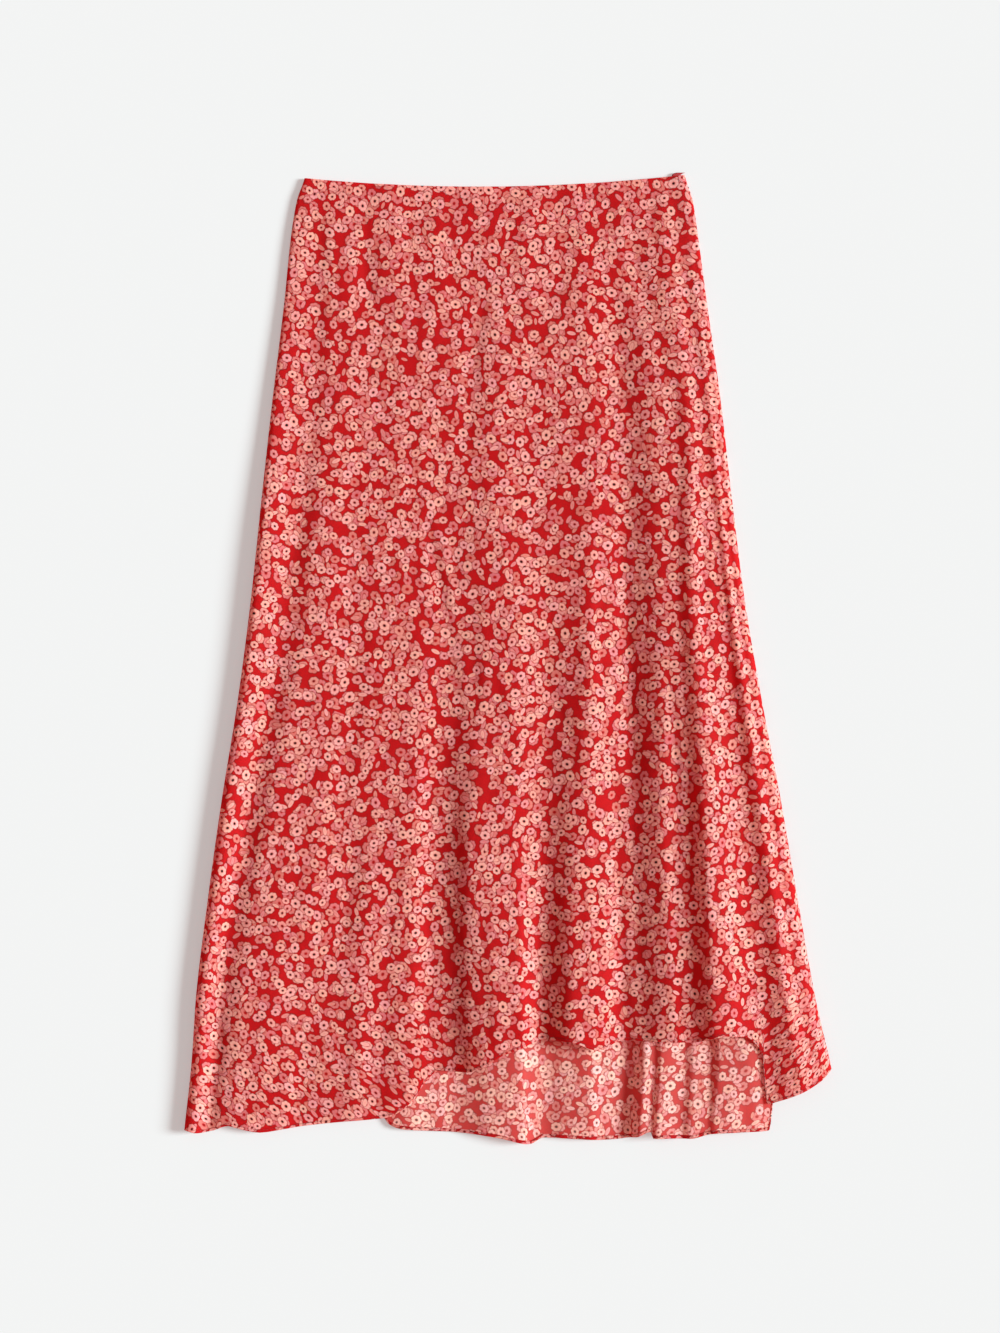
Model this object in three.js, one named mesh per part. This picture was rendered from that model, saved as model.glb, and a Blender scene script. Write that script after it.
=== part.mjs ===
// A flared midi skirt with an arched front hem, laid on its back on a flat surface.
// X runs across the skirt, Y from the hem to the waist and Z up from the surface. Sizes are in millimetres.
import * as THREE from "three";

// Driving sizes.
const waistY = 434.5; // where the level of the waist corners lies; a point's "down" is its distance below it
const wall = 1; // cloth
const seamGap = 0.3; // between pieces that are sewn together
const hemTurn = 3; // width of the turned hem that shows on the back panel's inner face
const hemSetIn = 0.4; // how far its fold lies inside the back panel's edge
const clothColor = 0xc8585a;
const innerColor = 0xd98880;
const hemColor = 0xb8343a;
const zipColor = 0xa3161c;

// Where the two side seams run, by distance below the waist corners.
const sideSeams = [
  { down: -6, left: -182.6, right: 158.2 },
  { down: 2, left: -183.6, right: 159.8 },
  { down: 22, left: -190.4, right: 166.1 },
  { down: 58, left: -196.2, right: 171.5 },
  { down: 112, left: -201.6, right: 178.7 },
  { down: 202, left: -212.4, right: 191.3 },
  { down: 292, left: -222.3, right: 201.6 },
  { down: 382, left: -231.8, right: 212.9 },
  { down: 472, left: -243.5, right: 228.2 },
  { down: 562, left: -257.9, right: 245.3 },
  { down: 652, left: -270.5, right: 260.6 },
  { down: 742, left: -281.3, right: 276.8 },
  { down: 796, left: -284.9, right: 289.2 },
  { down: 859, left: -291.6, right: 302.6 },
];

// The waist edge dips in the middle: an arc that is lowest a little left of the centre.
const waistArc = { lowestX: -26, lowestDown: 10, bend: 3.1e-4 };
const waistReach = { from: -40, to: 60 }; // distances down between which every column meets the waist edge
const hemReach = { from: 738, to: 900 }; // and those for the hem

// The levels at which the fold tables below give a share across the width and a height.
const levels = [0, 200, 380, 560, 745, 860];

// Fold lines of the front, from seam to seam: share of the width and height of the outer face at each
// level, and the number of columns up to the next line. "bend" is round at the rolled side edges.
const frontFolds = [
  { name: "left seam", columns: 4, bend: "round", share: [0, 0, 0, 0, 0, 0],
    height: [2, 3.4, 4.4, 5, 5.4, 5.4] },
  { name: "left roll", columns: 3, share: [0.008, 0.011, 0.013, 0.014, 0.014, 0.013],
    height: [3.8, 7.6, 11.4, 11.4, 11.2, 9.8] },
  { name: "left valley", columns: 2, share: [0.06, 0.09, 0.078, 0.056, 0.039, 0.036],
    height: [3.4, 4.4, 5, 4.8, 4.6, 4.6] },
  { name: "left shoulder", columns: 3, share: [0.092, 0.13, 0.125, 0.097, 0.077, 0.07],
    height: [3.6, 5.6, 7.4, 8, 8.6, 7.6] },
  { name: "left dart", columns: 4, share: [0.173, 0.208, 0.23, 0.232, 0.216, 0.205],
    height: [3.6, 5, 5.6, 6.4, 6.6, 5.4] },
  { name: "middle swell", columns: 3, share: [0.328, 0.329, 0.332, 0.341, 0.345, 0.328],
    height: [3.8, 5.6, 6.6, 7.6, 8.6, 7.6] },
  { name: "first valley", columns: 2, share: [0.407, 0.42, 0.405, 0.38, 0.379, 0.379],
    height: [3.6, 5.2, 5.4, 4.8, 4.4, 4.4] },
  { name: "first foot", columns: 3, share: [0.44, 0.443, 0.423, 0.4, 0.403, 0.401],
    height: [3.65, 5.4, 5.8, 5.4, 5.2, 5.2] },
  { name: "first crest", columns: 2, share: [0.512, 0.496, 0.486, 0.459, 0.478, 0.469],
    height: [3.8, 6.4, 9, 12.2, 17, 16.4] },
  { name: "first crest end", columns: 3, share: [0.55, 0.54, 0.54, 0.52, 0.522, 0.509],
    height: [3.7, 6.2, 8.5, 11.4, 15.8, 15.4] },
  { name: "second valley", columns: 3, share: [0.617, 0.608, 0.601, 0.579, 0.556, 0.54],
    height: [3.6, 5.5, 6.6, 7.4, 8, 7.8] },
  { name: "second crest", columns: 2, share: [0.709, 0.708, 0.688, 0.645, 0.607, 0.585],
    height: [3.8, 6.8, 9.6, 13.6, 19.4, 18.8] },
  { name: "second crest end", columns: 2, share: [0.735, 0.735, 0.713, 0.678, 0.65, 0.624],
    height: [3.7, 6.2, 8.2, 11.8, 16.2, 15.8] },
  { name: "third valley", columns: 3, share: [0.77, 0.78, 0.756, 0.72, 0.687, 0.658],
    height: [3.6, 4.7, 5.6, 7.2, 9.2, 9] },
  { name: "right dart", columns: 3, share: [0.835, 0.852, 0.83, 0.79, 0.757, 0.725],
    height: [3.6, 8.6, 12.4, 16, 18.2, 17.2] },
  { name: "flap foot", columns: 3, share: [0.885, 0.895, 0.862, 0.83, 0.797, 0.766],
    height: [3.7, 9, 13, 16.8, 18.8, 17.6] },
  { name: "flap crest", columns: 4, share: [0.925, 0.922, 0.89, 0.862, 0.835, 0.804],
    height: [3.9, 10.4, 16, 23.4, 28, 23] },
  { name: "right valley", columns: 1, share: [0.955, 0.955, 0.952, 0.93, 0.91, 0.881],
    height: [3.7, 7.8, 10.6, 13.4, 15.7, 9.6] },
  { name: "hem corner", columns: 2, share: [0.96, 0.96, 0.957, 0.936, 0.916, 0.888],
    height: [3.7, 7.9, 10.7, 13.5, 15.8, 9.7] },
  { name: "right swell", columns: 2, share: [0.975, 0.973, 0.97, 0.961, 0.947, 0.935],
    height: [3.9, 8.5, 12.6, 16.6, 20.6, 12.9] },
  { name: "right roll", columns: 4, bend: "round", share: [0.99, 0.987, 0.985, 0.983, 0.978, 0.974],
    height: [3.8, 7, 9.8, 12.4, 14.6, 10] },
  { name: "right seam", columns: 0, share: [1, 1, 1, 1, 1, 1],
    height: [2, 3.4, 4.4, 5, 5.6, 5.4] },
];

// The same for the back panel, whose height is that of its underside. It rests flat above its own hem folds.
const backFolds = [
  { name: "left seam", columns: 4, bend: "round", share: [0, 0, 0, 0, 0, 0],
    height: [2, 3.4, 4.4, 5, 5.4, 5.4] },
  { name: "left foot", columns: 2, share: [0.01, 0.013, 0.016, 0.017, 0.016, 0.015],
    height: [0, 0, 0, 0, 0, 0] },
  { name: "left half", columns: 2, share: [0.17, 0.17, 0.17, 0.17, 0.17, 0.17],
    height: [0, 0, 0, 0, 0, 0] },
  { name: "start of show", columns: 2, share: [0.29, 0.29, 0.29, 0.29, 0.29, 0.29],
    height: [0, 0, 0, 0, 0.4, 0.4] },
  { name: "soft crest", columns: 2, share: [0.345, 0.345, 0.345, 0.345, 0.343, 0.34],
    height: [0, 0, 0, 0, 3.4, 4.2] },
  { name: "soft valley", columns: 3, share: [0.41, 0.41, 0.41, 0.41, 0.408, 0.396],
    height: [0, 0, 0, 0, 0.6, 0.9] },
  { name: "bulge", columns: 3, share: [0.505, 0.505, 0.505, 0.505, 0.508, 0.5],
    height: [0, 0, 0, 1, 7.6, 9.6] },
  { name: "bulge foot", columns: 2, share: [0.562, 0.562, 0.562, 0.562, 0.56, 0.544],
    height: [0, 0, 0, 0, 2, 2.4] },
  { name: "low crest", columns: 3, share: [0.627, 0.627, 0.627, 0.627, 0.625, 0.605],
    height: [0, 0, 0, 0.8, 5.4, 7] },
  { name: "deep valley", columns: 3, share: [0.7, 0.7, 0.7, 0.7, 0.697, 0.671],
    height: [0, 0, 0, 0, 0.3, 0.4] },
  { name: "pleat edge", columns: 2, share: [0.722, 0.722, 0.722, 0.722, 0.72, 0.691],
    height: [0, 0, 0, 0.4, 8.4, 10.6] },
  { name: "pleat notch", columns: 1, share: [0.733, 0.733, 0.733, 0.733, 0.733, 0.704],
    height: [0, 0, 0, 0.4, 7, 9] },
  { name: "hem step", columns: 1, share: [0.7375, 0.7375, 0.7375, 0.7375, 0.7375, 0.7088],
    height: [0, 0, 0, 0.4, 7.2, 9.2] },
  { name: "second edge", columns: 3, share: [0.7445, 0.7445, 0.7445, 0.7445, 0.7445, 0.7155],
    height: [0, 0, 0, 0.6, 9.6, 11.8] },
  { name: "second valley", columns: 2, share: [0.782, 0.782, 0.782, 0.782, 0.782, 0.752],
    height: [0, 0, 0, 0.4, 7, 8.4] },
  { name: "third edge", columns: 2, share: [0.799, 0.799, 0.799, 0.799, 0.797, 0.767],
    height: [0, 0, 0, 0.6, 9.2, 11] },
  { name: "third valley", columns: 2, share: [0.825, 0.825, 0.825, 0.825, 0.825, 0.791],
    height: [0, 0, 0, 0.5, 8.4, 9.6] },
  { name: "last edge", columns: 3, share: [0.838, 0.838, 0.838, 0.838, 0.838, 0.804],
    height: [0, 0, 0, 0.6, 13.8, 11.6] },
  { name: "last foot", columns: 1, share: [0.904, 0.904, 0.904, 0.904, 0.904, 0.873],
    height: [0, 0, 0, 0.4, 13.2, 7.7] },
  { name: "end of show", columns: 1, share: [0.911, 0.911, 0.911, 0.911, 0.911, 0.8835],
    height: [0, 0, 0, 0.4, 12.9, 7.2] },
  { name: "right half", columns: 2, share: [0.918, 0.918, 0.918, 0.918, 0.918, 0.891],
    height: [0, 0, 0, 0.3, 12.1, 6.3] },
  { name: "right foot", columns: 4, bend: "round", share: [0.99, 0.987, 0.984, 0.982, 0.973, 0.97],
    height: [0, 0, 0, 0, 0, 0] },
  { name: "right seam", columns: 0, share: [1, 1, 1, 1, 1, 1],
    height: [2, 3.4, 4.4, 5, 5.6, 5.4] },
];

// The hems, from the left side to the right. The front one is an arch with its legs at x -86 and x 230.
const frontHem = [
  { x: -291.6, down: 859.5 },
  { x: -279.5, down: 862.2 },
  { x: -266.9, down: 860.4 },
  { x: -252.5, down: 855.9 },
  { x: -241.7, down: 858.6 },
  { x: -223.7, down: 861.8 },
  { x: -201.2, down: 858.6 },
  { x: -184.1, down: 855.9 },
  { x: -151.7, down: 852.3 },
  { x: -109.4, down: 848.3 },
  { x: -86, down: 833.4 },
  { x: -75.2, down: 817.2 },
  { x: -61.7, down: 806.4 },
  { x: -37.4, down: 807.3 },
  { x: -21.2, down: 801.9 },
  { x: -7.7, down: 792.9 },
  { x: 10.4, down: 785.7 },
  { x: 32.9, down: 777.6 },
  { x: 55.4, down: 779.4 },
  { x: 82, down: 787 },
  { x: 102.2, down: 778.5 },
  { x: 163.4, down: 779.4 },
  { x: 195.8, down: 773.1 },
  { x: 212, down: 774.5 },
  { x: 227.6, down: 789.3 },
  { x: 232.6, down: 835.6 },
  { x: 244.4, down: 832.5 },
  { x: 262.4, down: 825.8 },
  { x: 280.4, down: 815.4 },
  { x: 291.6, down: 803.7 },
];
const backHem = [
  { x: -291.6, down: 859.5 },
  { x: -264.2, down: 854.1 },
  { x: -187.7, down: 848.7 },
  { x: -117.5, down: 843.3 },
  { x: -106.7, down: 855.5 },
  { x: -95.9, down: 859.1 },
  { x: -43.7, down: 862.2 },
  { x: -7.7, down: 866.7 },
  { x: 19.4, down: 872.1 },
  { x: 32, down: 866.7 },
  { x: 89.6, down: 868.5 },
  { x: 114.8, down: 865.8 },
  { x: 127.8, down: 860.9 },
  { x: 130.5, down: 866.7 },
  { x: 163.4, down: 866.7 },
  { x: 185, down: 862.2 },
  { x: 228.2, down: 860.4 },
  { x: 234.9, down: 859.5 },
  { x: 238.1, down: 830.7 },
  { x: 262.4, down: 820.8 },
  { x: 280.4, down: 810.9 },
  { x: 291.6, down: 803.7 },
];

// Rows run level down to where the hem can begin, and from there spread down to the hem.
const frontRows = { level: 14, spread: 6 };
const backRows = { level: 8, spread: 6 };

// The two front darts: each draws the cloth in from the waist to its tip, and lets it go below.
const darts = { lines: ["left dart", "right dart"], from: 8, tip: 96, end: 150, depth: 1.5, halfWidth: 16 };

// The tape of the concealed zip lies inside the right side seam. Its top end leans out above the waist.
const zipRows = [
  { down: -2.8, inFromSeam: -0.6 },
  { down: -1.4, inFromSeam: 3 },
  { down: 2, inFromSeam: 4.4 },
  { down: 60, inFromSeam: 5.2 },
  { down: 120, inFromSeam: 6 },
  { down: 178, inFromSeam: 6 },
];
const zipWidth = 8;

// The slope at a point between two stretches: level where they turn, and else eased towards the gentler one.
const slopeBetween = (before, after) => (before * after <= 0 ? 0 : (2 * before * after) / (before + after));

// A cubic from one value to the next, given its rise over the whole step at each end.
function cubic(t, from, to, riseFrom, riseTo) {
  const rest = 1 - t;
  return (
    (1 + 2 * t) * rest * rest * from +
    t * rest * rest * riseFrom +
    t * t * (3 - 2 * t) * to -
    t * t * rest * riseTo
  );
}

// A smooth curve through a table's rows that never swings past them.
function curve(rows, key, value) {
  const x = rows.map((row) => row[key]);
  const y = rows.map((row) => row[value]);
  const slope = x.slice(1).map((next, i) => (y[i + 1] - y[i]) / (next - x[i]));
  const tangent = y.map((_, i) => {
    if (i === 0) return slope[0];
    if (i === y.length - 1) return slope[i - 1];
    return slopeBetween(slope[i - 1], slope[i]);
  });
  return (at) => {
    let i = 0;
    while (i < x.length - 2 && at > x[i + 1]) i += 1;
    const step = x[i + 1] - x[i];
    const t = (at - x[i]) / step;
    if (t < 0) return y[0] + tangent[0] * (at - x[0]);
    if (t > 1) return y[i + 1] + tangent[i + 1] * (at - x[i + 1]);
    return cubic(t, y[i], y[i + 1], step * tangent[i], step * tangent[i + 1]);
  };
}

// The same through one value for each level of the fold tables.
const downTheSkirt = (values) =>
  curve(levels.map((down, i) => ({ down, value: values[i] })), "down", "value");

const leftSeamX = curve(sideSeams, "down", "left");
const rightSeamX = curve(sideSeams, "down", "right");
const waistDown = (x) => waistArc.lowestDown - waistArc.bend * (x - waistArc.lowestX) ** 2;
const ease = (t) => t * t * (3 - 2 * t);
const clamp = (t) => Math.min(1, Math.max(0, t));

// One panel: its fold table turned into curves down the skirt, its hem, and what lifts its folds.
function panel(folds, hemRows, rows, shapeHeight) {
  const lines = folds.map((fold) => ({
    ...fold,
    shareAt: downTheSkirt(fold.share),
    heightAt: downTheSkirt(fold.height),
  }));
  const hemDown = curve(hemRows, "x", "down");

  // How steeply the panel's face rises across a fold line; it is level beside the rolled side edges.
  function tiltAt(i, down) {
    if (i <= 1 || i >= lines.length - 2) return 0;
    const [share, height] = [-1, 0, 1]
      .map((step) => lines[i + step])
      .reduce((all, line) => [[...all[0], line.shareAt(down)], [...all[1], line.heightAt(down)]], [[], []]);
    const slope = (k) => (height[k + 1] - height[k]) / (share[k + 1] - share[k]);
    return slopeBetween(slope(0), slope(1));
  }

  // The place on the panel's face at a position along the fold lines and a distance down.
  function place(along, down) {
    const last = lines.length - 2;
    const i = Math.min(last, Math.floor(along));
    const t = along - i;
    const [from, to] = [lines[i], lines[i + 1]];
    const [shareFrom, shareTo] = [from.shareAt(down), to.shareAt(down)];
    const [heightFrom, heightTo] = [from.heightAt(down), to.heightAt(down)];
    const turn = (t * Math.PI) / 2;
    const step = shareTo - shareFrom;
    let across = t;
    let z = cubic(t, heightFrom, heightTo, step * tiltAt(i, down), step * tiltAt(i + 1, down));
    if (i === 0 && from.bend === "round") {
      across = 1 - Math.cos(turn);
      z = heightFrom + (heightTo - heightFrom) * Math.sin(turn);
    } else if (i === last && from.bend === "round") {
      across = Math.sin(turn);
      z = heightFrom + (heightTo - heightFrom) * (1 - Math.cos(turn));
    }
    const x = leftSeamX(down) + (shareFrom + step * across) * (rightSeamX(down) - leftSeamX(down));
    return { x, z: shapeHeight(z, x, down, along), down };
  }

  // The distance down at which a column crosses an edge given as a function of x.
  function crossing(along, edgeDown, reach) {
    let { from, to } = reach;
    while (to - from > 1e-6) {
      const middle = (from + to) / 2;
      if (middle < edgeDown(place(along, middle).x)) from = middle;
      else to = middle;
    }
    return from;
  }

  const columns = lines.flatMap((line, i) =>
    Array.from({ length: line.columns }, (_, k) => i + k / line.columns),
  );
  columns.push(lines.length - 1);

  // How far down a column's point is at a row, where row 0 is the waist and the last row the hem.
  function downAt(along, row) {
    const top = crossing(along, waistDown, waistReach);
    const bottom = crossing(along, hemDown, hemReach);
    if (row <= rows.level) return top + ((hemReach.from - top) * row) / rows.level;
    return hemReach.from + ((bottom - hemReach.from) * (row - rows.level)) / rows.spread;
  }

  function point(along, down) {
    const at = place(along, down);
    return new THREE.Vector3(at.x, waistY - at.down, at.z);
  }

  // The panel's upward normal, from its slopes down and across.
  function normal(along, down) {
    const small = 0.01;
    const end = lines.length - 1;
    const acrossFrom = point(Math.max(0, along - small), down);
    const acrossTo = point(Math.min(end, along + small), down);
    const downFrom = point(along, down - 1);
    const downTo = point(along, down + 1);
    return downTo.sub(downFrom).cross(acrossTo.sub(acrossFrom)).normalize();
  }

  return { columns, rows, downAt, point, normal };
}

// A closed wall between an upper and a lower sheet of points, given column by column from the left.
function wallBetween(upper, lower) {
  const [wide, long] = [upper.length, upper[0].length];
  const positions = [...upper, ...lower].flatMap((column) => column.flatMap((p) => [p.x, p.y, p.z]));
  const top = (i, j) => i * long + j;
  const under = (i, j) => (wide + i) * long + j;
  const faces = [];
  const quad = (a, b, c, d) => faces.push(a, b, c, a, c, d);
  for (let i = 0; i < wide - 1; i += 1) {
    for (let j = 0; j < long - 1; j += 1) {
      quad(top(i, j), top(i, j + 1), top(i + 1, j + 1), top(i + 1, j));
      quad(under(i, j), under(i + 1, j), under(i + 1, j + 1), under(i, j + 1));
    }
    quad(top(i, 0), top(i + 1, 0), under(i + 1, 0), under(i, 0));
    quad(top(i + 1, long - 1), top(i, long - 1), under(i, long - 1), under(i + 1, long - 1));
  }
  for (let j = 0; j < long - 1; j += 1) {
    quad(top(0, j + 1), top(0, j), under(0, j), under(0, j + 1));
    quad(top(wide - 1, j), top(wide - 1, j + 1), under(wide - 1, j + 1), under(wide - 1, j));
  }
  const geometry = new THREE.BufferGeometry();
  geometry.setAttribute("position", new THREE.Float32BufferAttribute(positions, 3));
  geometry.setIndex(faces);
  geometry.computeVertexNormals();
  return geometry;
}

function clothPiece(name, geometry, color, roughness) {
  const material = new THREE.MeshStandardMaterial({ color, roughness, metalness: 0 });
  const mesh = new THREE.Mesh(geometry, material);
  mesh.name = name;
  return mesh;
}

// How far the darts draw the front in at a point.
const dartShares = frontFolds
  .filter((fold) => darts.lines.includes(fold.name))
  .map((fold) => downTheSkirt(fold.share));

function dartDepth(x, down) {
  const width = rightSeamX(down) - leftSeamX(down);
  const grow = ease(clamp((down - darts.from) / (darts.tip - darts.from)));
  const fade = 1 - ease(clamp((down - darts.tip) / (darts.end - darts.tip)));
  return dartShares.reduce((sum, shareAt) => {
    const off = Math.abs(x - leftSeamX(down) - shareAt(down) * width);
    return sum + darts.depth * grow * fade * ease(clamp(1 - off / darts.halfWidth));
  }, 0);
}

// The two panels stop short of each other at the side seams, by half the seam gap each.
const lastFront = frontFolds.length - 1;
const lastBack = backFolds.length - 1;

const front = panel(frontFolds, frontHem, frontRows, (z, x, down, along) => {
  const flat = along > 0 && along < lastFront;
  return z + seamGap / 2 - (flat ? dartDepth(x, down) : 0);
});
const back = panel(backFolds, backHem, backRows, (z, x, down, along) => {
  const leaving = Math.max(0, 1 - along, along - (lastBack - 1));
  return z - (seamGap / 2) * leaving;
});

const countTo = (last) => Array.from({ length: last + 1 }, (_, i) => i);

// A grid of a panel's points, moved along its normal.
function sheetOf(cloth, offset) {
  const rowList = countTo(cloth.rows.level + cloth.rows.spread);
  return cloth.columns.map((along) =>
    rowList.map((row) => {
      const down = cloth.downAt(along, row);
      return cloth.point(along, down).addScaledVector(cloth.normal(along, down), offset);
    }),
  );
}

function frontPanel() {
  return clothPiece("front_panel", wallBetween(sheetOf(front, 0), sheetOf(front, -wall)), clothColor, 0.8);
}

function backPanel() {
  return clothPiece("back_panel", wallBetween(sheetOf(back, wall), sheetOf(back, 0)), innerColor, 0.85);
}

// The turned hem lies on the back panel's inner face, a seam gap above it, from foot to foot.
function backHemBand() {
  const flat = back.columns.filter((along) => along >= 1 && along <= lastBack - 1);
  const strip = (offset) =>
    flat.map((along) => {
      const edge = back.downAt(along, backRows.level + backRows.spread) - hemSetIn;
      return [hemTurn, 0].map((width) => {
        const down = edge - width;
        return back.point(along, down).addScaledVector(back.normal(along, down), offset);
      });
    });
  const bottom = wall + seamGap;
  return clothPiece("back_hem", wallBetween(strip(bottom + wall), strip(bottom)), hemColor, 0.8);
}

// The zip's tape, a flat strip that follows the right seam a seam gap above the back panel.
function sideZip() {
  const strip = (z) =>
    [zipWidth, 0].map((across) =>
      zipRows.map(({ down, inFromSeam }) => {
        const x = rightSeamX(down) - inFromSeam - across;
        return new THREE.Vector3(x, waistY - down, z);
      }),
    );
  const bottom = wall + seamGap;
  return clothPiece("side_zip", wallBetween(strip(bottom + wall), strip(bottom)), zipColor, 0.6);
}

const skirt = new THREE.Group();
skirt.add(frontPanel(), backPanel(), backHemBand(), sideZip());

export default skirt;
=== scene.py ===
# A flared midi skirt in a small daisy print, laid flat on a pale floor and seen from straight above.
import math
import bpy
import mathutils
import numpy as np
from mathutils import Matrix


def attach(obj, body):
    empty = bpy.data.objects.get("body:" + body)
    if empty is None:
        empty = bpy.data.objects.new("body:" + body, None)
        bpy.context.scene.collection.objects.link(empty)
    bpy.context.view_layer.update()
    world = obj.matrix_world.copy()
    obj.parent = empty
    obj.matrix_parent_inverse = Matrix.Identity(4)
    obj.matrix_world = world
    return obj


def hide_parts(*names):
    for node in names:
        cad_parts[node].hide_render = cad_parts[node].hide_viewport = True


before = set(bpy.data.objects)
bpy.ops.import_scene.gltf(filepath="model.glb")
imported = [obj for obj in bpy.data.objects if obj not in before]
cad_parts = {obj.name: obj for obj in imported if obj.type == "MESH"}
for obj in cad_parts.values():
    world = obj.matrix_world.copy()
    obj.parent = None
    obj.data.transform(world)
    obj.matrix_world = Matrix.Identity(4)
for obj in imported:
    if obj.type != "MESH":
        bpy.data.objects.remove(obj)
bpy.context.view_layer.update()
mm = 0.001

# the skirt's measures in millimetres: X across, "down" from the level of the waist corners to the hem
skirt = {
    "waistY": 434.5,
    "cloth": 0.5,  # crepe with a little body
    "seamGap": 0.3,
    "waistLowestX": -26, "waistLowestDown": 10, "waistBend": 3.1e-4,
    "levels": [0, 200, 380, 560, 745, 860],  # where the fold tables give a share across and a height
    "finer": 4,  # columns of cloth for each column that the fold tables ask for
    "levelRows": 168, "levelEnd": 738, "spreadRows": 30,
    "waistRows": [0, 0.35, 1.0, 2.4],  # close rows that round the waist edge
    "hemRows": [4.4, 3.2, 2.4, 1.9, 1.4, 0.8, 0.25, 0],  # and the hem's fold and stitch line
    "stitchRow": 2.4, "stitchPull": 0.18, "stitchReach": 0.6,  # the row that the stitches pull in
    "turnIn": 0.35, "hemTurn": 1.4, "waistTurn": 1.6,  # how far both edges turn in, and over what width
    "rollWidth": 4, "rollFade": 14,  # the rolls at the side seams, without creases
    "waistBetween": (-40, 60), "hemBefore": 900, "halvings": 40,  # where the edges are searched for
    "backPrint": [0.9, 0.35],  # metres along the cloth, so that the back shows another stretch of it
}

sideSeams = [  # down, left, right
    (-6, -182.6, 158.2), (2, -183.6, 159.8), (22, -190.4, 166.1), (58, -196.2, 171.5),
    (112, -201.6, 178.7), (202, -212.4, 191.3), (292, -222.3, 201.6), (382, -231.8, 212.9),
    (472, -243.5, 228.2), (562, -257.9, 245.3), (652, -270.5, 260.6), (742, -281.3, 276.8),
    (796, -284.9, 289.2), (859, -291.6, 302.6),
]

# fold lines from seam to seam: name, columns to the next line, share across and height at each level
frontFolds = [
    ("left seam", 4, [0, 0, 0, 0, 0, 0], [2, 3.4, 4.4, 5, 5.4, 5.4]),
    ("left roll", 3, [0.008, 0.011, 0.013, 0.014, 0.014, 0.013], [3.8, 7.6, 11.4, 11.4, 11.2, 9.8]),
    ("left valley", 2, [0.06, 0.09, 0.078, 0.056, 0.039, 0.036], [3.4, 4.4, 5, 4.8, 4.6, 4.6]),
    ("left shoulder", 3, [0.092, 0.13, 0.125, 0.097, 0.077, 0.07], [3.6, 5.6, 7.4, 8, 8.6, 7.6]),
    ("left dart", 4, [0.173, 0.208, 0.23, 0.232, 0.216, 0.205], [3.6, 5, 5.6, 6.4, 6.6, 5.4]),
    ("middle swell", 3, [0.328, 0.329, 0.332, 0.341, 0.345, 0.328], [3.8, 5.6, 6.6, 7.6, 8.6, 7.6]),
    ("first valley", 2, [0.407, 0.42, 0.405, 0.38, 0.379, 0.379], [3.6, 5.2, 5.4, 4.8, 4.4, 4.4]),
    ("first foot", 3, [0.44, 0.443, 0.423, 0.4, 0.403, 0.401], [3.65, 5.4, 5.8, 5.4, 5.2, 5.2]),
    ("first crest", 2, [0.512, 0.496, 0.486, 0.459, 0.478, 0.469], [3.8, 6.4, 9, 12.2, 17, 16.4]),
    ("first crest end", 3, [0.55, 0.54, 0.54, 0.52, 0.522, 0.509], [3.7, 6.2, 8.5, 11.4, 15.8, 15.4]),
    ("second valley", 3, [0.617, 0.608, 0.601, 0.579, 0.556, 0.54], [3.6, 5.5, 6.6, 7.4, 8, 7.8]),
    ("second crest", 2, [0.709, 0.708, 0.688, 0.645, 0.607, 0.585], [3.8, 6.8, 9.6, 13.6, 19.4, 18.8]),
    ("second crest end", 2, [0.735, 0.735, 0.713, 0.678, 0.65, 0.624], [3.7, 6.2, 8.2, 11.8, 16.2, 15.8]),
    ("third valley", 3, [0.77, 0.78, 0.756, 0.72, 0.687, 0.658], [3.6, 4.7, 5.6, 7.2, 9.2, 9]),
    ("right dart", 3, [0.835, 0.852, 0.83, 0.79, 0.757, 0.725], [3.6, 8.6, 12.4, 16, 18.2, 17.2]),
    ("flap foot", 3, [0.885, 0.895, 0.862, 0.83, 0.797, 0.766], [3.7, 9, 13, 16.8, 18.8, 17.6]),
    ("flap crest", 4, [0.925, 0.922, 0.89, 0.862, 0.835, 0.804], [3.9, 10.4, 16, 23.4, 28, 23]),
    ("right valley", 1, [0.955, 0.955, 0.952, 0.93, 0.91, 0.881], [3.7, 7.8, 10.6, 13.4, 15.7, 9.6]),
    ("hem corner", 2, [0.96, 0.96, 0.957, 0.936, 0.916, 0.888], [3.7, 7.9, 10.7, 13.5, 15.8, 9.7]),
    ("right swell", 2, [0.975, 0.973, 0.97, 0.961, 0.947, 0.935], [3.9, 8.5, 12.6, 16.6, 20.6, 12.9]),
    ("right roll", 4, [0.99, 0.987, 0.985, 0.983, 0.978, 0.974], [3.8, 7, 9.8, 12.4, 14.6, 10]),
    ("right seam", 0, [1, 1, 1, 1, 1, 1], [2, 3.4, 4.4, 5, 5.6, 5.4]),
]
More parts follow.
